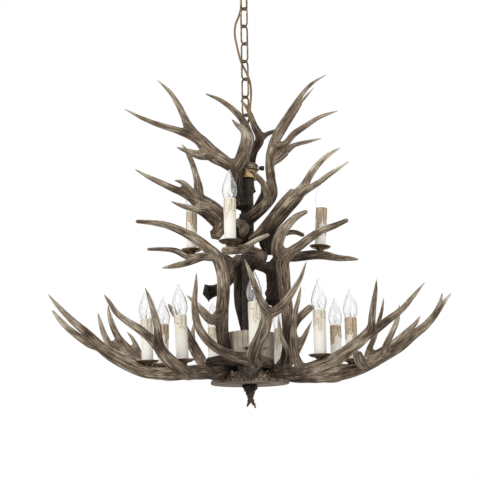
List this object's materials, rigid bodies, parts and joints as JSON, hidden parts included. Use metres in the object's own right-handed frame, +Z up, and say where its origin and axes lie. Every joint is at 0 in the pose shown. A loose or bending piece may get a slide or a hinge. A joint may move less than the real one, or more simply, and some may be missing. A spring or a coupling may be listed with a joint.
{
  "type": "antler chandelier",
  "caption": "Two-tier antler chandelier: antlers set round a column on a hub, candle lights on drip dishes, hung by a chain and a braided cord from a ceiling canopy.",
  "frame": {"origin": "middle of the ceiling bracket's flat upper face, on the chain's line", "axes": "+Z up, +X to the right and -Y towards the viewer of the front"},
  "size_m": [0.944, 0.854, 1.1347],
  "materials": {
    "antler": "matte brown-grey with pale worn tips",
    "timber": "split billet with a dry grey-brown face",
    "dark_metal": "dark bronze paint, satin",
    "aged_brass": "antique, brushed and darkened",
    "bright_brass": "satin",
    "steel": "zinc plated",
    "wax": "ivory with moulded tan drips",
    "holder": "white heat-proof insulator",
    "glass": "clear",
    "cord": "twisted brown and gold braid"
  },
  "bodies": {
    "ceiling_fitting": {"ceiling_bracket": "steel", "bracket_nut": "steel", "canopy_nipple": "steel", "canopy": "aged_brass", "ceiling_loop": "aged_brass", "cord_bushing": "dark_metal", "flex_top": "cord"},
    "top_link": {"chain_top_link": "aged_brass"},
    "chandelier": {"arm_antler_front": "antler", "arm_antler_left": "antler", "arm_antler_right": "antler", "basket_antler_1": "antler", "basket_antler_2": "antler", "basket_antler_3": "antler", "basket_antler_4": "antler", "basket_antler_5": "antler", "basket_antler_6": "antler", "basket_antler_7": "antler", "basket_antler_8": "antler", "basket_antler_9": "antler", "candle_sleeves": "wax", "cap_screw": "dark_metal", "central_rod": "aged_brass", "chain_links": "aged_brass", "column_cap": "dark_metal", "column_collar": "bright_brass", "column_tube": "dark_metal", "crown_antler_back": "antler", "crown_antler_left": "antler", "crown_antler_right": "antler", "drip_dishes": "dark_metal", "finial": "antler", "flex": "cord", "hanging_eye": "aged_brass", "hub_disc": "antler", "lampholders": "holder", "middle_antler_back": "antler", "middle_antler_left": "antler", "middle_antler_right": "antler", "stump_core": "timber", "upright_antler_back": "antler", "upright_antler_left": "antler", "upright_antler_right": "antler"},
    "bulb_lower_1": {"bulb_lower_1": "glass"},
    "bulb_lower_2": {"bulb_lower_2": "glass"},
    "bulb_lower_3": {"bulb_lower_3": "glass"},
    "bulb_lower_4": {"bulb_lower_4": "glass"},
    "bulb_lower_5": {"bulb_lower_5": "glass"},
    "bulb_lower_6": {"bulb_lower_6": "glass"},
    "bulb_lower_7": {"bulb_lower_7": "glass"},
    "bulb_lower_8": {"bulb_lower_8": "glass"},
    "bulb_lower_9": {"bulb_lower_9": "glass"},
    "bulb_upper_1": {"bulb_upper_1": "glass"},
    "bulb_upper_2": {"bulb_upper_2": "glass"},
    "bulb_upper_3": {"bulb_upper_3": "glass"}
  },
  "joints": [
    {"name": "chain_swing_in_loop", "type": "hinge", "parent": "ceiling_fitting", "child": "top_link", "pos_m": [0, 0, -0.072], "axis": [0.7071, -0.7071, 0], "range_deg": [-20, 20], "deforming": ["flex_top"]},
    {"name": "chain_swing_in_link", "type": "hinge", "parent": "top_link", "child": "chandelier", "pos_m": [0, 0, -0.11985], "axis": [0.7071, 0.7071, 0], "range_deg": [-20, 20], "deforming": ["flex"]},
    {"name": "bulb_lower_1_unscrew", "type": "hinge", "parent": "chandelier", "child": "bulb_lower_1", "pos_m": [0.01266, -0.24167, -1.0207], "axis": [0, 0, 1], "range_deg": [0, 720]},
    {"name": "bulb_lower_2_unscrew", "type": "hinge", "parent": "chandelier", "child": "bulb_lower_2", "pos_m": [0.15587, -0.1825, -1.0317], "axis": [0, 0, 1], "range_deg": [0, 720]},
    {"name": "bulb_lower_3_unscrew", "type": "hinge", "parent": "chandelier", "child": "bulb_lower_3", "pos_m": [0.2402, -0.02949, -1.0277], "axis": [0, 0, 1], "range_deg": [0, 720]},
    {"name": "bulb_lower_4_unscrew", "type": "hinge", "parent": "chandelier", "child": "bulb_lower_4", "pos_m": [0.21691, 0.12023, -1.0257], "axis": [0, 0, 1], "range_deg": [0, 720]},
    {"name": "bulb_lower_5_unscrew", "type": "hinge", "parent": "chandelier", "child": "bulb_lower_5", "pos_m": [0.07879, 0.22881, -1.0177], "axis": [0, 0, 1], "range_deg": [0, 720]},
    {"name": "bulb_lower_6_unscrew", "type": "hinge", "parent": "chandelier", "child": "bulb_lower_6", "pos_m": [-0.09377, 0.22092, -1.0117], "axis": [0, 0, 1], "range_deg": [0, 720]},
    {"name": "bulb_lower_7_unscrew", "type": "hinge", "parent": "chandelier", "child": "bulb_lower_7", "pos_m": [-0.21562, 0.10987, -1.0177], "axis": [0, 0, 1], "range_deg": [0, 720]},
    {"name": "bulb_lower_8_unscrew", "type": "hinge", "parent": "chandelier", "child": "bulb_lower_8", "pos_m": [-0.23775, -0.05489, -1.0267], "axis": [-0.0297, 0, 0.9996], "range_deg": [0, 720]},
    {"name": "bulb_lower_9_unscrew", "type": "hinge", "parent": "chandelier", "child": "bulb_lower_9", "pos_m": [-0.14684, -0.19487, -1.0397], "axis": [-0.0523, 0, 0.9986], "range_deg": [0, 720]},
    {"name": "bulb_upper_1_unscrew", "type": "hinge", "parent": "chandelier", "child": "bulb_upper_1", "pos_m": [-0.03982, -0.17246, -0.7697], "axis": [0, 0, 1], "range_deg": [0, 720]},
    {"name": "bulb_upper_2_unscrew", "type": "hinge", "parent": "chandelier", "child": "bulb_upper_2", "pos_m": [0.17976, 0.05154, -0.7377], "axis": [0.0698, 0, 0.9976], "range_deg": [0, 720]},
    {"name": "bulb_upper_3_unscrew", "type": "hinge", "parent": "chandelier", "child": "bulb_upper_3", "pos_m": [-0.14415, 0.12531, -0.7247], "axis": [0, 0, 1], "range_deg": [0, 720]}
  ]
}
